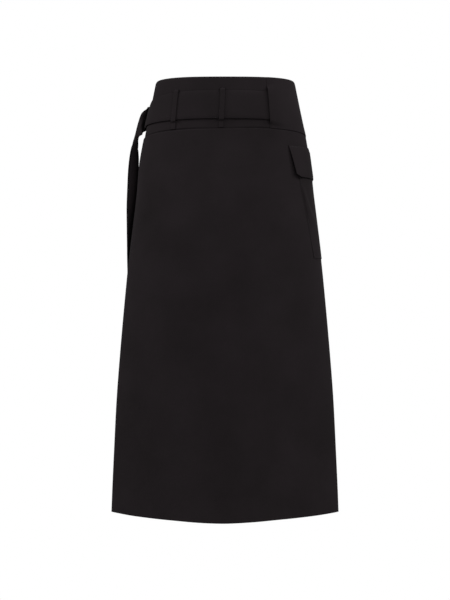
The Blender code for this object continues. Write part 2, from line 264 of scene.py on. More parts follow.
def cloth(name, grid, flat, lay, material, edge=0.0005, crowding=(CROWDING, CROWDING)):
    """A piece of cloth. lay(u, v, inner) gives the points; u and v run from 0 to 1 over the
    piece, inner is 1 on its inside, and flat is its width and length as cut."""
    bm = bmesh.new()
    bmesh.ops.create_grid(bm, x_segments=grid[0], y_segments=grid[1], size=0.5)
    extruded = bmesh.ops.extrude_face_region(bm, geom=list(bm.faces))
    inside = {part for part in extruded["geom"] if isinstance(part, bmesh.types.BMVert)}
    bm.verts.ensure_lookup_table()
    uv = np.array([(vert.co.x + 0.5, vert.co.y + 0.5) for vert in bm.verts])
    inner = np.array([float(vert in inside) for vert in bm.verts])
    u = crowd(uv[:, 0], crowding[0])
    v = crowd(uv[:, 1], crowding[1])
    weave = bm.loops.layers.uv.new("weave")
    for face in bm.faces:
        for loop in face.loops:
            i = loop.vert.index
            loop[weave].uv = (u[i] * flat[0], v[i] * flat[1])
    for vert, point in zip(bm.verts, lay(u, v, inner)):
        vert.co = point
    rim = [e for e in bm.edges if e.calc_face_angle(0.0) > RIM_ANGLE]
    bmesh.ops.bevel(bm, geom=rim, offset=edge, offset_type="OFFSET", affect="EDGES",
                    segments=RIM_SEGMENTS, profile=0.5, material=-1, clamp_overlap=True)
    piece = to_object(name, bm, material)
    print(name, len(piece.data.polygons), "faces")
    return piece


# %% [markdown]
# ## The cloth: a near-black crepe suiting
#
# The real cloth is a plain, tightly twisted polyester and viscose crepe suiting. Its grainy
# threads scatter light, so it is matt, and short fibres on the surface lift the tone a little
# where it turns away from the eye. Its threads are about 0.4 mm apart and its diagonal rib repeats
# every 1.3 mm, both too fine for a view of the whole skirt, so the grain is drawn at 0.9 mm and the
# rib, very faintly, at 3.6 mm. Slow changes of tone, about 90 mm across, stand for handling and for
# slightly uneven dye.

# %% Colour and node helpers


def srgb(hex_colour):
    """An sRGB hex colour as linear RGBA."""
    def linear(c):
        return c / 12.92 if c <= 0.04045 else ((c + 0.055) / 1.055) ** 2.4
    return [linear(int(hex_colour[i:i + 2], 16) / 255) for i in (1, 3, 5)] + [1.0]


def add_node(tree, kind, settings=None, values=None, links=None):
    """Adds a node, sets its properties and sockets, and links outputs into its inputs."""
    node = tree.nodes.new(kind)
    for key, value in (settings or {}).items():
        setattr(node, key, value)
    for key, value in (values or {}).items():
        node.inputs[key].default_value = value
    for key, output in (links or {}).items():
        tree.links.new(output, node.inputs[key])
    return node


# %% The suiting, loose on the panels and pressed on the belt
GRAIN_MM = 0.9
RIB_MM = 3.63
SHADE_MM = 90.0
PER_METRE = 1000.0
# The wave texture turns by 10 radians a unit along x + y, and its bands lie across that diagonal.
RIB_SCALE = PER_METRE * 2 * math.pi / 10 / (RIB_MM * math.sqrt(2))
FLECK_SHARE = 0.35
RIB_SHARE = 0.35


def suiting(name, dark, light, roughness, grain_depth, sheen):
    """Crepe suiting. dark and light are the cloth's tones, grain_depth the bump in metres."""
    material = bpy.data.materials.new(name)
    material.use_nodes = True
    tree = material.node_tree
    tree.nodes.clear()
    out = add_node(tree, "ShaderNodeOutputMaterial")
    flat = add_node(tree, "ShaderNodeUVMap", {"uv_map": "weave"})
    place = add_node(tree, "ShaderNodeTexCoord")
    grain = add_node(tree, "ShaderNodeTexNoise", {"noise_dimensions": "2D"},
                     {"Scale": PER_METRE / GRAIN_MM, "Detail": 3.0, "Roughness": 0.6},
                     {"Vector": flat.outputs["UV"]})
    rib = add_node(tree, "ShaderNodeTexWave",
                   {"wave_type": "BANDS", "bands_direction": "DIAGONAL"},
                   {"Scale": RIB_SCALE, "Distortion": 1.2, "Detail": 1.0},
                   {"Vector": flat.outputs["UV"]})
    tone = add_node(tree, "ShaderNodeTexNoise", None,
                    {"Scale": PER_METRE / SHADE_MM, "Detail": 3.0, "Roughness": 0.5},
                    {"Vector": place.outputs["Object"]})
    flecks = add_node(tree, "ShaderNodeMath", {"operation": "MULTIPLY"}, {1: FLECK_SHARE},
                      {0: grain.outputs["Fac"]})
    blend = add_node(tree, "ShaderNodeMath", {"operation": "ADD", "use_clamp": True}, None,
                     {0: tone.outputs["Fac"], 1: flecks.outputs[0]})
    spread = add_node(tree, "ShaderNodeMapRange", None,
                      {"From Min": 0.35, "From Max": 0.95}, {"Value": blend.outputs[0]})
    colour = add_node(tree, "ShaderNodeMix", {"data_type": "RGBA"},
                      {6: srgb(dark), 7: srgb(light)}, {0: spread.outputs["Result"]})
    threads = add_node(tree, "ShaderNodeMath", {"operation": "MULTIPLY_ADD"}, {1: RIB_SHARE},
                       {0: rib.outputs["Fac"], 2: grain.outputs["Fac"]})
    bump = add_node(tree, "ShaderNodeBump", None,
                    {"Strength": 1.0, "Distance": grain_depth}, {"Height": threads.outputs[0]})
    shader = add_node(tree, "ShaderNodeBsdfPrincipled", None,
                      {"Roughness": roughness, "IOR": 1.48, "Specular IOR Level": 0.03,
                       "Sheen Weight": sheen, "Sheen Roughness": 0.45,
                       "Sheen Tint": srgb("#c9c3c6")},
                      {"Base Color": colour.outputs[2], "Normal": bump.outputs["Normal"]})
    tree.links.new(shader.outputs["BSDF"], out.inputs["Surface"])
    return material


DARK, LIGHT = "#1a1718", "#211d1f"
SHEEN = 0.02
panel_suiting = suiting("crepe_suiting_panels", DARK, LIGHT, 0.95, 0.00010, SHEEN)
pressed_suiting = suiting("crepe_suiting_pressed", DARK, LIGHT, 0.92, 0.00007, SHEEN)
belt_suiting = suiting("crepe_suiting_belt", DARK, LIGHT, 0.92, 0.00008, SHEEN)
print("materials:", panel_suiting.name, pressed_suiting.name, belt_suiting.name)

# %% The sewing thread
PLY_MM = 0.5


def sewing_thread():
    """Spun polyester thread. It is rounder and a little shinier than the cloth."""
    material = bpy.data.materials.new("spun_polyester_thread")
    material.use_nodes = True
    tree = material.node_tree
    tree.nodes.clear()
    out = add_node(tree, "ShaderNodeOutputMaterial")
    place = add_node(tree, "ShaderNodeTexCoord")
    twist = add_node(tree, "ShaderNodeTexNoise", None,
                     {"Scale": PER_METRE / PLY_MM, "Detail": 2.0}, {"Vector": place.outputs["Object"]})
    colour = add_node(tree, "ShaderNodeMix", {"data_type": "RGBA"},
                      {6: srgb("#151314"), 7: srgb("#242122")}, {0: twist.outputs["Fac"]})
    bump = add_node(tree, "ShaderNodeBump", None,
                    {"Strength": 0.6, "Distance": 0.00005}, {"Height": twist.outputs["Fac"]})
    shader = add_node(tree, "ShaderNodeBsdfPrincipled", None,
                      {"Roughness": 0.55, "IOR": 1.5, "Specular IOR Level": 0.35},
                      {"Base Color": colour.outputs[2], "Normal": bump.outputs["Normal"]})
    tree.links.new(shader.outputs["BSDF"], out.inputs["Surface"])
    return material


thread = sewing_thread()

# %% [markdown]
# ## The skirt panels
#
# Two panels make the skirt: one back, one front. They are cut with a flare and hang almost
# straight, so there are no pleats, only a few long, very shallow rolls that begin below the hips and
# differ in length and depth. The hem is turned up 35 mm inside, which makes the wall thicker there.
# At the waist and side seams the cloth rolls in, and that is what draws the dark line of a seam. The
# waist seam is pulled in most over the hips.

# %% Soft rolls in the panels
#    place  drift   top     fade   width   height
ROLLS = (
    (0.13, -0.010, -0.300, 0.20, 0.030, 0.0012),
    (0.29, 0.015, -0.420, 0.22, 0.024, -0.0014),
    (0.40, 0.010, -0.250, 0.26, 0.040, 0.0010),
    (0.56, -0.010, -0.380, 0.24, 0.045, 0.0026),
    (0.70, -0.015, -0.330, 0.20, 0.026, -0.0012),
    (0.87, 0.005, -0.280, 0.22, 0.022, 0.0010),
    (1.14, 0.000, -0.340, 0.20, 0.026, -0.0010),
    (1.33, 0.015, -0.300, 0.24, 0.034, 0.0018),
    (1.49, -0.010, -0.400, 0.20, 0.030, -0.0016),
    (1.62, 0.012, -0.260, 0.26, 0.040, 0.0014),
    (1.84, -0.006, -0.380, 0.20, 0.024, 0.0011),
)
SEAM_ROLL_WIDTH = 0.0022
SEAM_ROLL_DEPTH = 0.0010
SIDE_SEAM_SHARE = 0.6
HALF_ROUND = 0.47             # cloth from side seam to side seam, for the widths of the rolls
LEAST_STRAIN = 0.5
STRAIN_GROWTH = 2.6
STRAIN_END = 1.15
# A soft swell at the left hip: height of its middle, reach up and down, reach round, and depth
LEFT_HIP = (-0.092, 0.040, 0.16, 0.0014)
PANEL_CLOTH = 0.0011
HEM_TURN_UP = 0.035
HEM_CLOTH = 0.0004
HEM_STEP = 0.003
SEAM_MARGIN = 1e-9            # keeps the ends of a front piece on the front's side of the map


def rolls(z, place):
    """How far the panels' soft rolls stand off the form."""
    total = np.zeros_like(z)
    for at, drift, top, fade, width, height in ROLLS:
        grown = ease((top - z) / fade)
        away = (place - at - drift * grown) * HALF_ROUND
        total += height * grown * hump(away, 0.0, width)
    return total


def seam_roll(distance):
    """How far cloth rolls in at a distance from a seam."""
    return SEAM_ROLL_DEPTH * ease(1.0 - distance / SEAM_ROLL_WIDTH)


def strain(place):
    """The waist seam is pulled hardest over the hips, and about a third as hard at the middle."""
    sideways = (surface(SEAM_Z, place, 0.0)[..., 0] / WAIST_HALF_WIDTH) ** 2
    return LEAST_STRAIN + STRAIN_GROWTH * sideways * (STRAIN_END - sideways)


def to_side_seam(z, place):
    """Distance along the cloth to the nearer side seam."""
    share = place % 1.0
    return np.minimum(share, 1.0 - share) * half_length(z, False)


def off_side_seam(points, front):
    """Front and back pieces stop half a gap short of each other."""
    side = 1.0 if front else -1.0
    points[:, 1] = side * np.maximum(side * points[:, 1], GAP / 2)
    return points


def left_hip(z, place):
    """The pocketless side stands a little fuller where the belt's end hangs."""
    middle, reach, round_reach, depth = LEFT_HIP
    return depth * hump(z, middle, reach) * hump(place, 1.0, round_reach)


def along_half(u, front):
    """Places along the front or the back, from the +X seam to the -X seam."""
    if front:
        return np.clip(2.0 - u, 1.0 + SEAM_MARGIN, 2.0 - SEAM_MARGIN)
    return np.clip(u, 0.0, 1.0)


def panel_layer(front):
    def lay(u, v, inner):
        place = along_half(u, front)
        top = seam_height(place) - GAP / 2
        z = mix(top, HEM_Z, v)
        lift = rolls(z, place) + left_hip(z, place)
        lift -= strain(place) * seam_roll(top - z)
        lift -= SIDE_SEAM_SHARE * seam_roll(to_side_seam(z, place))
        turned_up = ease((HEM_Z + HEM_TURN_UP - z) / HEM_STEP)
        lift -= inner * (PANEL_CLOTH + HEM_CLOTH * turned_up)
        return off_side_seam(surface(z, place, lift), front)

    return lay


# %% Make the two panels
PANEL_LENGTH = SEAM_Z - HEM_Z
PANEL_GRID = (130, 150)
CUT_LEVELS = 60


def cut_panel(front):
    """Width at the hem, length, and flat area of a panel as cut."""
    heights = np.linspace(SEAM_Z, HEM_Z, CUT_LEVELS)
    widths = half_length(heights, front)
    return (float(widths[-1]), PANEL_LENGTH), float(np.mean(widths)) * PANEL_LENGTH


for name, front in (("skirt_back", False), ("skirt_front", True)):
    flat, area = cut_panel(front)
    panel = cloth(name + "_cloth", PANEL_GRID, flat, panel_layer(front), panel_suiting,
                  edge=0.0004)
    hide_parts(name)
    print(name, "cut", round(flat[0], 3), "x", round(flat[1], 3), "m, area", round(area, 3))

# %% [markdown]
# ## The waistband
#
# The band is 90 mm deep, cut in a curve so that it narrows towards the top, and interfaced, so it
# stands smooth and firm. Its folded top edge is round. Round the right side an outer layer, the
# casing, covers it. Each of the casing's two upright edges is the mouth of a slot where the belt
# goes in.

# %% The band's two halves
BAND_STEP = 0.0012
BAND_CLOTH = 0.0020
BAND_GRID = (130, 30)
TOP_FOLD = 0.0010
TOP_FOLD_HEIGHT = 0.0035
BAND_SEAM_SHARE = 0.5
BAND_MIDDLE_Z = 0.006
band_flat = (float(half_length(BAND_MIDDLE_Z, False)), TOP_Z - SEAM_Z)


def folded_top(z):
    """How far the band's folded top edge rolls in."""
    return TOP_FOLD * np.clip(1.0 - (TOP_Z - z) / TOP_FOLD_HEIGHT, 0.0, 1.0) ** 2


def band_layer(front):
    def lay(u, v, inner):
        place = along_half(u, front)
        low = seam_height(place) + GAP / 2
        z = mix(low, TOP_Z, v)
        lift = -BAND_STEP - folded_top(z) - strain(place) * seam_roll(z - low)
        lift -= BAND_SEAM_SHARE * seam_roll(to_side_seam(z, place))
        lift -= inner * BAND_CLOTH
        return off_side_seam(surface(z, place, lift), front)

    return lay


for name, front in (("waistband_back", False), ("waistband_front", True)):
    band = cloth(name + "_cloth", BAND_GRID, band_flat, band_layer(front), pressed_suiting,
                 edge=0.0008)
    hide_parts(name)

# %% Where the belt runs, which the casing and the loops need too
LAY_GAP = 0.0003
FLAP_GAP = 0.0004
BELT_WIDTH = 0.050
BELT_RISE = 0.0030
BELT_DROP = 0.0084
BELT_SQUEEZE = 0.12
BELT_CLOTH = 0.0019
BELT_LEAN = 0.0010
BELT_SLACK = 0.0035
SLACK_FROM, SLACK_GROWS = 0.90, 0.16    # where the slack begins, and the run in which it grows
SLACK_TO, SLACK_FADES = 1.70, 0.30      # where it ends, and the run in which it fades
TOP_SLACK, TOP_SHARE = 0.25, 0.4        # less of it in this share of the width, at the top
SLOT_SHARE = 0.302
BELT_TUCK = 0.024
TRIM_CLOTH = 0.0008


def belt_middle(place):
    """Height of the belt's middle: it dips towards both sides."""
    x = surface(0.0, place, 0.0)[..., 0]
    return BELT_RISE - BELT_DROP * np.abs(x / WAIST_HALF_WIDTH) ** 3


def belt_width(place):
    """The belt's width as seen: it bunches a little where it turns round the sides."""
    x = surface(0.0, place, 0.0)[..., 0]
    return BELT_WIDTH * (1.0 - BELT_SQUEEZE * (x / WAIST_HALF_WIDTH) ** 4)


def belt_lift(z, place):
    """Lift of the belt's inner face. Its top edge is pulled tighter than the rest of it, which is
    slack from the left side past the knot."""
    below_top = 0.5 - (z - belt_middle(place)) / BELT_WIDTH
    slack = BELT_SLACK * ease((place - SLACK_FROM) / SLACK_GROWS)
    slack = slack * ease((SLACK_TO - place) / SLACK_FADES)
    slack = slack * mix(TOP_SLACK, 1.0, ease(below_top / TOP_SHARE))
    return -BAND_STEP + LAY_GAP + slack + BELT_LEAN * below_top


# %% The casing
CASING_GRID = (110, 40)
UNDER_BELT = BELT_CLOTH + BELT_LEAN + LAY_GAP
OVERHANG = 0.0008
OVERHANG_HEIGHT, OVERHANG_RUN = 0.012, 0.28
SLOT_MOUTH = 0.0009
MOUTH_RUN = 0.03
PAST_BELT = BELT_WIDTH / 2 + 0.0015     # the casing starts to come down here
BELT_ROOM = BELT_WIDTH / 2 + 0.001
SLOT_ROOM, SLOT_ROOM_RUN = 0.009, 0.06  # it comes down more steeply at its ends
SETTLE_RUN = 0.09                       # past the belt's end it settles on the band
SEWN_HEIGHT, SEWN_RUN = 0.004, 0.012    # its ends are sewn down above and below the belt
SEWN_GAP, SEWN_CLOTH = 0.7, 0.8         # and pressed there by these shares


def lay_casing(u, v, inner):
    share = mix(-SLOT_SHARE, SLOT_SHARE, u)
    place = share % 2.0
    low = seam_height(place) + GAP / 2
    z = mix(low, TOP_Z, v)
    middle = belt_middle(place)
    inside = SLOT_SHARE - np.abs(share)
    past_belt = np.maximum(np.abs(z - middle) - PAST_BELT, 0.0)
    room = np.where(z > middle, TOP_Z - middle, middle - low) - BELT_ROOM
    room = mix(SLOT_ROOM, room, ease(inside / SLOT_ROOM_RUN))
    over_height = 1.0 - ease(past_belt / room)
    over_run = 1.0 - ease((inside - BELT_TUCK) / SETTLE_RUN)
    sewn = ease(past_belt / SEWN_HEIGHT) * ease(1.0 - inside / SEWN_RUN)
    mouth = SLOT_MOUTH * over_height * ease(1.0 - inside / MOUTH_RUN)
    lift = -BAND_STEP + LAY_GAP * (1.0 - SEWN_GAP * sewn)
    lift = lift + UNDER_BELT * over_height * over_run + mouth
    loose = hump(z, low, OVERHANG_HEIGHT) * (1.0 - ease(np.abs(share) / OVERHANG_RUN))
    lift = lift + OVERHANG * loose - folded_top(z)
    return surface(z, place, lift + (1.0 - inner) * TRIM_CLOTH * (1.0 - SEWN_CLOTH * sewn))


casing_flat = (2 * SLOT_SHARE * band_flat[0], band_flat[1])
casing = cloth("waistband_casing_cloth", CASING_GRID, casing_flat, lay_casing, pressed_suiting)
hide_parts("waistband_casing")

# %% [markdown]
# ## The belt
#
# The belt is a strip folded double, sewn, turned and pressed: its edges are thinner than its
# middle, and it is never quite flat. One half comes out of the slot at the right of the back, runs
# through two loops and turns round the left side a little slack. The other half comes out of the
# slot at the front, and the two are tied at the front left.

# %% The two stretches round the waist
BELT_GRID = (190, 14)
PRESSED_DEPTH, PRESSED_REACH = 0.0008, 0.0035
#    height   turns   shift
BELT_WAVES = (
    (0.00015, 31.0, 0.0),
    (0.00012, 57.0, 1.0),
)
# Across the back the belt's top edge is pressed thinner, so that it hardly shows on the band.
THIN_TOP = 0.0008
THIN_SHARE = 0.20
THIN_UNTIL, THIN_FADES = 1.02, 0.08
KNOT_DISTANCE = 0.066
knot_place = float(from_left_seam(0.0, KNOT_DISTANCE))
half_gap = GAP / 2 / float(half_length(0.0, True))


def pressed_edge(v):
    """How much of the belt's thickness is pressed out near its two edges."""
    to_edge = np.minimum(v, 1.0 - v) * BELT_WIDTH
    return PRESSED_DEPTH * ease(1.0 - to_edge / PRESSED_REACH)


def belt_layer(start, end):
    def lay(u, v, inner):
        place = mix(start, end, u)
        z = belt_middle(place) + belt_width(place) * (v - 0.5)
        wave = sum(height * np.sin(place * turns + shift) for height, turns, shift in BELT_WAVES)
        thin_top = THIN_TOP * ease((v - 1.0 + THIN_SHARE) / THIN_SHARE)
        thin_top = thin_top * ease((THIN_UNTIL - place) / THIN_FADES)
        wall = BELT_CLOTH - pressed_edge(v) - thin_top + wave
        lift = belt_lift(z, place) + (1.0 - inner) * wall
        return surface(z, place, lift)

    return lay


for name, start, end in (
    ("belt_back", SLOT_SHARE - BELT_TUCK, knot_place - half_gap),
    ("belt_front", knot_place + half_gap, 2.0 - SLOT_SHARE + BELT_TUCK),
):
    length = (end - start) * float(half_length(0.0, False))
    belt = cloth(name + "_cloth", BELT_GRID, (length, BELT_WIDTH), belt_layer(start, end),
                 belt_suiting, edge=0.0006, crowding=(0.2, CROWDING))
    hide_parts(name)
    print(name, "is", round(length, 3), "m long")

# %% The belt loops
# height from the belt's middle, and how far the loop is raised over the belt
LOOP_PROFILE = ((-0.0300, 0.0), (-0.0262, 1.0), (0.0254, 1.0), (0.0272, 0.0), (0.0285, 0.0))
LOOPS = (("belt_loop_left", 0.729, 0.7305), ("belt_loop_centre", 0.511, 0.518))
LOOP_WIDTH = 0.0085
LOOP_FROM_SEAM = 0.0015
LOOP_LENGTH = 0.078
LOOP_CROWN = 0.0003
LOOP_GRID = (10, 60)


def loop_ends(top_place, seam_place):
    """Heights of a loop's lower and upper ends, and of the belt's middle there."""
    middle = float(belt_middle((top_place + seam_place) / 2))
    low = float(seam_height(seam_place)) + LOOP_FROM_SEAM
    return low, middle + LOOP_PROFILE[-1][0], middle


def loop_layer(top_place, seam_place):
    low, high, middle = loop_ends(top_place, seam_place)
    heights, raised = np.array(LOOP_PROFILE).T

    def lay(u, v, inner):
        z = mix(low, high, v)
        over_belt = ease(np.interp(z - middle, heights, raised))
        place = mix(seam_place, top_place, v)
        place = place + (u - 0.5) * LOOP_WIDTH / half_length(z, False)
        flat = -BAND_STEP + LAY_GAP
        lift = mix(flat, belt_lift(z, place) + BELT_CLOTH + LAY_GAP, over_belt)
        crown = LOOP_CROWN * (1.0 - (2.0 * u - 1.0) ** 2)
        return surface(z, place, lift + (1.0 - inner) * (TRIM_CLOTH + crown))

    return lay


for name, top_place, seam_place in LOOPS:
    loop = cloth(name + "_cloth", LOOP_GRID, (LOOP_WIDTH, LOOP_LENGTH),
                 loop_layer(top_place, seam_place), belt_suiting, edge=0.0004,
                 crowding=(0.5, 0.2))
    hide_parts(name)

# %% [markdown]
# ## The belt's two ends
#
# One end comes out of the knot sideways, stands off the side like a strap, turns over at the height
# of the waist seam, and hangs beside the hip; lower down the flaring skirt carries it. The other end
# falls straight down the front. Each is described by its two edges, row by row: height, distance
# from the left side seam, and lift off the skirt. The last column says how far the strip is folded
# inwards along a line nearer its back edge, as a flat belt is below a twist. Near the knot it has
# small creases.

# %% Tables of the two ends
#   edge towards the back       edge towards the front      fold
#   z       place   lift        z       place   lift
TAIL_LEFT = (
    (0.0190, 0.0460, 0.0125, -0.0240, 0.0460, 0.0105, 0.0000),
    (0.0178, 0.0370, 0.0120, -0.0260, 0.0390, 0.0095, 0.0000),
    (0.0140, 0.0310, 0.0118, -0.0285, 0.0310, 0.0085, 0.0000),
    (0.0098, 0.0290, 0.0164, -0.0305, 0.0230, 0.0076, 0.0000),
    (0.0050, 0.0280, 0.0198, -0.0322, 0.0175, 0.0070, 0.0000),
    (-0.0028, 0.0270, 0.0214, -0.0336, 0.0140, 0.0066, 0.0000),
    (-0.0105, 0.0260, 0.0219, -0.0348, 0.0120, 0.0064, 0.0000),
    (-0.0180, 0.0245, 0.0220, -0.0356, 0.0110, 0.0066, 0.0000),
    (-0.0255, 0.0220, 0.0216, -0.0366, 0.0110, 0.0078, 0.0000),
    (-0.0330, 0.0180, 0.0208, -0.0380, 0.0120, 0.0100, 0.0000),
    (-0.0410, 0.0110, 0.0200, -0.0410, 0.0140, 0.0122, 0.0008),
    (-0.0484, 0.0040, 0.0191, -0.0470, 0.0190, 0.0132, 0.0058),
    (-0.0560, 0.0010, 0.0190, -0.0555, 0.0240, 0.0158, 0.0086),
    (-0.0640, 0.0000, 0.0201, -0.0645, 0.0280, 0.0190, 0.0120),
    (-0.0850, 0.0000, 0.0203, -0.0855, 0.0310, 0.0195, 0.0160),
    (-0.1200, 0.0000, 0.0188, -0.1200, 0.0340, 0.0170, 0.0166),
    (-0.1640, 0.0000, 0.0156, -0.1640, 0.0380, 0.0130, 0.0132),
    (-0.2100, 0.0000, 0.0096, -0.2100, 0.0430, 0.0070, 0.0072),
    (-0.2500, 0.0040, 0.0045, -0.2500, 0.0520, 0.0026, 0.0024),
    (-0.2900, 0.0150, 0.0013, -0.2900, 0.0640, 0.0010, 0.0000),
    (-0.3500, 0.0310, 0.0009, -0.3500, 0.0800, 0.0009, 0.0000),
    (-0.4300, 0.0450, 0.0008, -0.4300, 0.0950, 0.0008, 0.0000),
    (-0.5200, 0.0570, 0.0008, -0.5200, 0.1070, 0.0008, 0.0000),
)
TAIL_FRONT = (
    (-0.0238, 0.0520, 0.0080, -0.0238, 0.0800, 0.0080, 0.0000),
    (-0.0330, 0.0520, 0.0078, -0.0330, 0.0830, 0.0078, 0.0000),
    (-0.0480, 0.0540, 0.0065, -0.0480, 0.0900, 0.0055, 0.0000),
    (-0.0900, 0.0650, 0.0030, -0.0900, 0.1110, 0.0025, 0.0000),
    (-0.1500, 0.0800, 0.0013, -0.1500, 0.1290, 0.0013, 0.0000),
    (-0.2300, 0.0950, 0.0010, -0.2300, 0.1450, 0.0010, 0.0000),
    (-0.3200, 0.1080, 0.0009, -0.3200, 0.1580, 0.0009, 0.0000),
    (-0.4550, 0.1220, 0.0009, -0.4550, 0.1720, 0.0009, 0.0000),
)
TAIL_GRID = (18, 280)
TAIL_STEP = 0.004             # spacing used to find which way the strip faces
FOLD_SKEW = 0.6               # below 1, the fold lies nearer the back edge
CREASES_ACROSS, CREASES_DOWN = 15.0, 9.0
CREASES_START = 0.03
TAIL_CREASE = 0.0006


def tail_layer(rows, reach):
    """reach says how far down the strip its small creases run, as a share of its length."""
    keyed = np.column_stack((np.linspace(0.0, 1.0, len(rows)), np.array(rows)))

    def face(u, v):
        edges = smooth_rows(keyed, v)
        z = mix(edges[:, 0], edges[:, 3], u)
        distance = mix(edges[:, 1], edges[:, 4], u)
        return surface(z, from_left_seam(z, distance), mix(edges[:, 2], edges[:, 5], u))

    def lay(u, v, inner):
        # The wall stands square on the strip, because the strip turns as it falls.
        across = face(u + TAIL_STEP, v) - face(u - TAIL_STEP, v)
        down = face(u, v + TAIL_STEP) - face(u, v - TAIL_STEP)
        square = np.cross(across, down)
        square /= np.linalg.norm(square, axis=1)[:, None]
        bunched = ease(1.0 - v / reach) * ease(v / CREASES_START)
        creases = TAIL_CREASE * bunched * np.cos(u * CREASES_ACROSS + v * CREASES_DOWN)
        creases = creases * np.sin(math.pi * u)
        folded = smooth_rows(keyed, v)[:, 6] * np.sin(math.pi * u ** FOLD_SKEW)
        wall = BELT_CLOTH - pressed_edge(u)
        return face(u, v) + square * (creases - folded + (1.0 - inner) * wall)[:, None]

    return lay


for name, rows, reach, length in (
    ("belt_tail_left", TAIL_LEFT, 0.65, 0.56),
    ("belt_tail_front", TAIL_FRONT, 0.35, 0.44),
):
    tail = cloth(name + "_cloth", TAIL_GRID, (BELT_WIDTH, length), tail_layer(rows, reach),
                 belt_suiting, edge=0.0006, crowding=(CROWDING, 0.3))
    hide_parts(name)

# %% [markdown]
# ## The knot
#
# A half knot in a flat belt makes a soft pad: one end wraps the other from top to bottom, and the
# cloth gathers into slanting folds that run together at its waist. A sphere pushed towards a box
# gives the pad, and a few waves across it, strongest in front, give the folds.

# %% Tie the knot
KNOT_HALF = 0.019
KNOT_HALF_HEIGHT = 0.023
KNOT_THICK = 0.015
KNOT_SQUARE = 0.75            # below 1, the sphere is pushed towards a box
KNOT_WAIST = 0.18             # share of its height lost at its middle
KNOT_FOLDS = 0.0016
#    share  across  up    shift
KNOT_WAVES = (
    (1.0, 9.0, 3.2, 0.6),
    (0.4, 17.0, -2.0, 0.0),
)
FOLDS_FROM = 0.4              # the folds begin this far behind the knot's middle
FOLDS_LOST = 0.6              # share of them lost towards its top and bottom
FOLDS_SUNK = 0.6              # share of their height by which they are sunk into the pad


def tie_knot():
    bm = bmesh.new()
    bmesh.ops.create_uvsphere(bm, u_segments=96, v_segments=64, radius=1.0)
    height = float(belt_middle(knot_place))
    length = float(half_length(height, True))
    base = float(belt_lift(height - BELT_WIDTH / 2, knot_place)) + BELT_CLOTH + LAY_GAP
    raw = np.array([vert.co[:] for vert in bm.verts])
    across, out, up = (np.sign(raw) * np.abs(raw) ** KNOT_SQUARE).T
    waisted = 1.0 - KNOT_WAIST * (1.0 - np.abs(across))
    folds = sum(share * np.sin(across * a + up * b + shift) for share, a, b, shift in KNOT_WAVES)
    folds = KNOT_FOLDS * folds * ease(out + FOLDS_FROM) * (1.0 - FOLDS_LOST * np.abs(up) ** 3)
    place = knot_place + across * KNOT_HALF / length
    lift = base + KNOT_THICK * (out + 1.0) / 2 + folds - KNOT_FOLDS * FOLDS_SUNK * (out > 0)
    z = height + up * KNOT_HALF_HEIGHT * waisted
    points = surface(z, place, np.maximum(lift, base))
    for vert, point in zip(bm.verts, points):
        vert.co = point
    weave = bm.loops.layers.uv.new("weave")
    for face in bm.faces:
        for loop in face.loops:
            i = loop.vert.index
            loop[weave].uv = (across[i] * KNOT_HALF, up[i] * KNOT_HALF_HEIGHT)
    return to_object("belt_knot_cloth", bm, belt_suiting)


knot = tie_knot()
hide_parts("belt_knot")
print("knot", len(knot.data.polygons), "faces")

# %% [markdown]
# ## The pocket
#
# A patch pocket sits over the right side seam, half on the back and half on the front. Its flap
# has cut corners and lies over its mouth. It curls a little off the bag at its back edge and hangs
# clear of it below, which throws a dark line. The bag is one layer with its edges turned under, and
# a soft ridge runs down from the flap's back corner to the side.

# %% Bag and flap
#   z       back   front
BAG_EDGES = (
    (-0.074, 0.080, 0.070),
    (-0.129, 0.076, 0.070),
    (-0.216, 0.066, 0.068),
    (-0.262, 0.060, 0.067),
)
BAG_TOP_Z, BAG_BOTTOM_Z = BAG_EDGES[0][0], BAG_EDGES[-1][0]
BAG_SWELL = 0.0002
BAG_WIDTH = 0.143
# The bag's back edge is pressed thinner, except near its lower corner: depth, width, height
BAG_PRESSED = (0.0007, 0.009, 0.05)
FLAP_TOP_Z, FLAP_BOTTOM_Z = -0.066, -0.1210
FLAP_WIDTH = 0.162
FLAP_BACK = (0.0915, 0.0862)  # distance of its back edge at the top and at the bottom
FLAP_FRONT = (0.076, 0.074)
FLAP_CUT = (0.010, 0.0045)    # cut corner, along the bottom edge and up the side
FLAP_CURL, CURL_REACH = 0.0026, 0.034
FLAP_HANG, HANG_HEIGHT, HANG_REACH = 0.0014, 0.030, 0.040
FLAP_CROWN, CROWN_REACH = 0.0002, 0.005
# A crease in the bag, from its back edge under the flap round to the hip: z, distance
CREASE = (
    (-0.125, -0.079),
    (-0.150, -0.0725),
    (-0.170, -0.066),
    (-0.188, -0.055),
    (-0.198, -0.040),
    (-0.203, -0.015),
)
CREASE_HEIGHT = 0.0028
CREASE_ABOVE, CREASE_BELOW = 0.0085, 0.016
CREASE_GROWS, CREASE_FADES = 0.2, 0.45
CREASE_EDGE = 0.004           # it dies away this near the bag's own edges
# A dip above the crease: depth, distance from it, width
DIP = (0.0004, 0.013, 0.006)
CREASE_POINTS = 60


def off_crease(distance, z):
    """Distance from the bag's crease, positive above it, and how far along it from 0 to 1."""
    steps = np.linspace(0.0, 1.0, CREASE_POINTS)
    keyed = np.column_stack((np.linspace(0.0, 1.0, len(CREASE)), np.array(CREASE)))
    line = smooth_rows(keyed, steps)
    away_z = z[:, None] - line[:, 0]
    away_d = distance[:, None] - line[:, 1]
    squared = away_z ** 2 + away_d ** 2
    nearest = np.argmin(squared, axis=1)
    rows = np.arange(len(z))
    above = np.sign(away_z[rows, nearest] + away_d[rows, nearest])
    return above * np.sqrt(squared[rows, nearest]), steps[nearest]


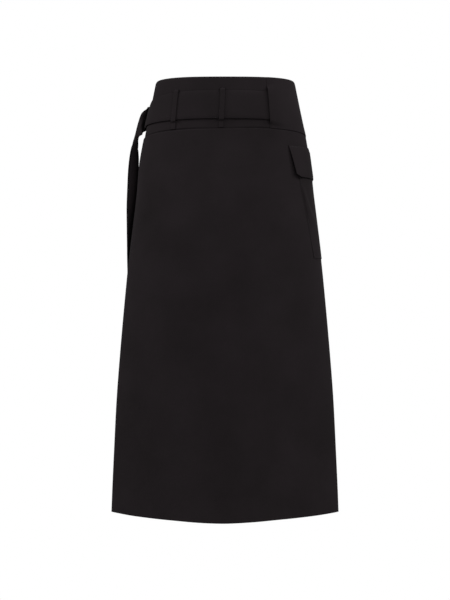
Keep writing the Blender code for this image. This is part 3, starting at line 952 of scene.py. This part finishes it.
def lay_bag(u, v, inner):
    z = mix(BAG_BOTTOM_Z, BAG_TOP_Z, v)
    edges = smooth_rows(BAG_EDGES, z)
    distance = mix(-edges[:, 0], edges[:, 1], u)
    swell = BAG_SWELL * np.sin(math.pi * u) * np.sin(math.pi * np.minimum(v * 1.5, 1.0))
    off, along = off_crease(distance, z)
    raised = CREASE_HEIGHT * hump(off, 0.0, np.where(off > 0, CREASE_ABOVE, CREASE_BELOW))
    crease = (raised - DIP[0] * hump(off, *DIP[1:])) * ease(along / CREASE_GROWS)
    crease = crease * ease((1.0 - along) / CREASE_FADES)
    inside_edge = ease(np.minimum(u, 1.0 - u) * BAG_WIDTH / CREASE_EDGE)
    lift = LAY_GAP + swell + np.maximum(crease * inside_edge, -LAY_GAP)
    depth, width, height = BAG_PRESSED
    pressed = depth * (1.0 - ease(u * BAG_WIDTH / width)) * ease((z - BAG_BOTTOM_Z) / height)
    return surface(z, from_right_seam(z, distance), lift + (1.0 - inner) * (TRIM_CLOTH - pressed))


def lay_flap(u, v, inner):
    back = mix(FLAP_BACK[1], FLAP_BACK[0], v)
    front = mix(FLAP_FRONT[1], FLAP_FRONT[0], v)
    distance = mix(-back, front, u)
    to_edge = np.minimum(distance + back, front - distance)
    cut = FLAP_CUT[1] * np.maximum(0.0, 1.0 - to_edge / FLAP_CUT[0])
    z = mix(FLAP_BOTTOM_Z + cut, FLAP_TOP_Z, v)
    over_bag = 1.0 - ease((z - BAG_TOP_Z) / (FLAP_TOP_Z - BAG_TOP_Z))
    curl = FLAP_CURL * ease(1.0 - (distance + back) / CURL_REACH)
    curl = curl * ease((FLAP_TOP_Z - z) / CURL_REACH)
    hang = FLAP_HANG * ease(1.0 - (z - FLAP_BOTTOM_Z) / HANG_HEIGHT)
    hang = hang * ease(-distance / HANG_REACH)
    lift = LAY_GAP + (TRIM_CLOTH + FLAP_GAP + BAG_SWELL) * over_bag + hang + curl
    crown = FLAP_CROWN * ease(to_edge / CROWN_REACH) * ease((z - FLAP_BOTTOM_Z) / CROWN_REACH)
    return surface(z, from_right_seam(z, distance), lift + (1.0 - inner) * (TRIM_CLOTH + crown))


for name, grid, flat, lay in (
    ("pocket_bag", (70, 80), (BAG_WIDTH, BAG_TOP_Z - BAG_BOTTOM_Z), lay_bag),
    ("pocket_flap", (90, 30), (FLAP_WIDTH, FLAP_TOP_Z - FLAP_BOTTOM_Z), lay_flap),
):
    piece = cloth(name + "_cloth", grid, flat, lay, pressed_suiting)
    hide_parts(name)

# %% [markdown]
# ## The stitching
#
# The thread matches the cloth, so stitches show only from close by. The flap is sewn along its
# top, the bag along three edges, and each loop is barred at its top. One small rounded stitch is
# repeated along a path, turned to follow it, and all stitches of a seam are one mesh.

# %% A row of stitches
STITCH_LENGTH = 0.0026
STITCH_PITCH = 0.0031
STITCH_RADIUS = 0.00022
STITCH_INSET = 0.002          # a seam runs this far inside an edge
STITCH_STEP = 0.002           # spacing used to find which way a seam runs
PATH_POINTS = 400
ON_TRIM = LAY_GAP + TRIM_CLOTH


def stitch_row(name, path):
    """path(t) gives heights, places and lifts for t from 0 to 1."""
    t = np.linspace(0.0, 1.0, PATH_POINTS)
    line = surface(*path(t))
    run = np.concatenate(([0.0], np.cumsum(np.linalg.norm(np.diff(line, axis=0), axis=1))))
    count = int(run[-1] / STITCH_PITCH)
    at = np.interp((np.arange(count) + 0.5) * run[-1] / count, run, t)
    z, place, lift = path(at)
    centres = surface(z, place, lift)
    outward = surface(z, place, lift + 0.001) - centres
    ahead = surface(*path(np.minimum(at + STITCH_STEP, 1.0)))
    ahead -= surface(*path(np.maximum(at - STITCH_STEP, 0.0)))
    bm = bmesh.new()
    for centre, out, along in zip(centres, outward, ahead):
        along = Vector(along).normalized()
        side = Vector(out).cross(along).normalized()
        out = along.cross(side)
        turn = Matrix((along, side, out)).transposed().to_4x4()
        size = Matrix.Diagonal((STITCH_LENGTH / 2, STITCH_RADIUS, STITCH_RADIUS, 1.0))
        matrix = Matrix.Translation(Vector(centre)) @ turn @ size
        bmesh.ops.create_uvsphere(bm, u_segments=6, v_segments=4, radius=1.0, matrix=matrix)
    row = to_object(name, bm, thread)
    print(name, count, "stitches")
    return row


def bag_stitches(side):
    """Down one side of the bag, from under the flap to the bottom seam."""
    def path(t):
        z = mix(FLAP_BOTTOM_Z + 2 * STITCH_INSET, BAG_BOTTOM_Z + STITCH_INSET, t)
        edges = smooth_rows(BAG_EDGES, z)
        distance = -edges[:, 0] + STITCH_INSET if side < 0 else edges[:, 1] - STITCH_INSET
        return z, from_right_seam(z, distance), np.full_like(z, ON_TRIM)
    return path


def bag_bottom_stitches(t):
    z = np.full_like(t, BAG_BOTTOM_Z + STITCH_INSET)
    edges = smooth_rows(BAG_EDGES, z)
    distance = mix(-edges[:, 0] + STITCH_INSET, edges[:, 1] - STITCH_INSET, t)
    return z, from_right_seam(z, distance), np.full_like(z, ON_TRIM + 0.0001)


def flap_stitches(t):
    z = np.full_like(t, FLAP_TOP_Z - STITCH_INSET - STITCH_RADIUS)
    distance = mix(-FLAP_BACK[0] + STITCH_INSET, FLAP_FRONT[0] - STITCH_INSET, t)
    return z, from_right_seam(z, distance), np.full_like(z, ON_TRIM + 0.0006)


def loop_bar(top_place, seam_place):
    """A short bar across the top of a loop."""
    def path(t):
        z = np.full_like(t, loop_ends(top_place, seam_place)[1] - 0.0010)
        across = (t - 0.5) * (LOOP_WIDTH - STITCH_INSET) / half_length(z, False)
        return z, top_place + across, np.full_like(z, ON_TRIM - BAND_STEP + 0.0002)
    return path


for name, path in (
    ("stitches_bag_back", bag_stitches(-1)),
    ("stitches_bag_front", bag_stitches(1)),
    ("stitches_bag_bottom", bag_bottom_stitches),
    ("stitches_flap", flap_stitches),
    ("stitches_loop_left", loop_bar(*LOOPS[0][1:])),
    ("stitches_loop_centre", loop_bar(*LOOPS[1][1:])),
):
    stitch_row(name, path)

# %% [markdown]
# ## The studio
#
# The skirt is shown filled out, as on a wearer who isn't there, above a round pale floor. The
# surround is white to the camera and lights the cloth softly from every side. Two soft boxes high
# at the sides light it most, and one at each hip lightens the sides of the waist: their light skims
# the back, so that edges throw thin dark lines. A broad soft box low at the right of the camera
# fills the middle and the folded belt end, a small one above the camera deepens the lines under the
# belt and the flap, and a broad one behind the skirt lights its front.

# %% Floor
FLOOR_Z = -1.15
FLOOR_RADIUS = 1.0
FLOOR_ROUGHNESS = 0.9


def round_floor():
    bm = bmesh.new()
    bmesh.ops.create_circle(bm, cap_ends=True, segments=96, radius=FLOOR_RADIUS,
                            matrix=Matrix.Translation((0.0, 0.0, FLOOR_Z)))
    mesh = bpy.data.meshes.new("studio_floor")
    bm.to_mesh(mesh)
    bm.free()
    material = bpy.data.materials.new("painted_studio_floor")
    material.use_nodes = True
    shader = material.node_tree.nodes["Principled BSDF"]
    shader.inputs["Base Color"].default_value = srgb("#f4f4f2")
    shader.inputs["Roughness"].default_value = FLOOR_ROUGHNESS
    mesh.materials.append(material)
    floor = bpy.data.objects.new("studio_floor", mesh)
    bpy.context.collection.objects.link(floor)
    return floor


round_floor()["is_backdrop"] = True

# %% Surround: white to the camera, softer as a light
SURROUND_LIGHT = 0.25

world = bpy.data.worlds.new("white_surround")
bpy.context.scene.world = world
world.use_nodes = True
surround = world.node_tree
surround.nodes.clear()
seen = add_node(surround, "ShaderNodeLightPath")
strength = add_node(surround, "ShaderNodeMapRange", None, {"To Min": SURROUND_LIGHT, "To Max": 1.0},
                    {"Value": seen.outputs["Is Camera Ray"]})
white = add_node(surround, "ShaderNodeBackground", None, {"Color": srgb("#ffffff")},
                 {"Strength": strength.outputs["Result"]})
add_node(surround, "ShaderNodeOutputWorld", None, None, {"Surface": white.outputs["Background"]})

# %% Soft boxes
#    name           place                aim                  width  height  power
LIGHTS = (
    ("soft_front", (1.1, -3.1, 0.1), (0.0, 0.0, -0.30), 1.4, 1.4, 19.0),
    ("soft_behind", (0.4, 3.4, 0.6), (0.0, 0.0, -0.35), 2.4, 2.4, 30.0),
    ("key_above", (0.0, -1.7, 2.1), (0.0, 0.0, -0.1), 0.9, 0.5, 8.5),
    ("side_left", (-2.1, -1.8, 1.4), (0.0, 0.0, -0.3), 0.9, 0.9, 30.0),
    ("side_right", (2.1, -1.8, 1.4), (0.0, 0.0, -0.3), 0.9, 0.9, 31.0),
    ("hip_left", (-1.4, -0.3, 0.7), (-0.14, 0.0, -0.05), 0.3, 0.6, 15.0),
    ("hip_right", (1.4, -0.3, 0.7), (0.14, 0.0, -0.05), 0.3, 0.6, 12.5),
)
for name, place, aim, width, height, power in LIGHTS:
    lamp = bpy.data.lights.new(name, "AREA")
    lamp.shape = "RECTANGLE"
    lamp.size, lamp.size_y, lamp.energy = width, height, power
    holder = bpy.data.objects.new(name, lamp)
    holder.location = place
    holder.rotation_euler = (Vector(aim) - Vector(place)).to_track_quat("-Z", "Y").to_euler()
    bpy.context.collection.objects.link(holder)
print(len(LIGHTS), "soft boxes")

# %% Camera
CAMERA_DISTANCE = 2.27
CAMERA_HEIGHT = -0.3355
SENSOR_MM = 36.0
PHOTO_HEIGHT_PX = 600
FOCAL_PX = 1262

camera_data = bpy.data.cameras.new("camera")
camera_data.sensor_width = SENSOR_MM
camera_data.lens = FOCAL_PX / PHOTO_HEIGHT_PX * SENSOR_MM
camera = bpy.data.objects.new("camera", camera_data)
camera.location = (0.0, -CAMERA_DISTANCE, CAMERA_HEIGHT)
camera.rotation_euler = (math.pi / 2, 0.0, 0.0)
bpy.context.collection.objects.link(camera)
bpy.context.scene.camera = camera
bpy.context.scene.view_settings.view_transform = "Standard"
print("lens", round(camera_data.lens, 1), "mm, camera", CAMERA_DISTANCE, "m from the middle")

# %% [markdown]
# ## The two boxes
#
# The box of the construction and the box of the dressed skirt, soft cloth included, are printed axis
# by axis.

# %% Print the two boxes and finish
low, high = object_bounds()
for axis, a, b, c, d in zip("xyz", cad_low, cad_high, low, high):
    print(axis, "construction", round(a, 4), round(b, 4), "dressed", round(c, 4), round(d, 4))
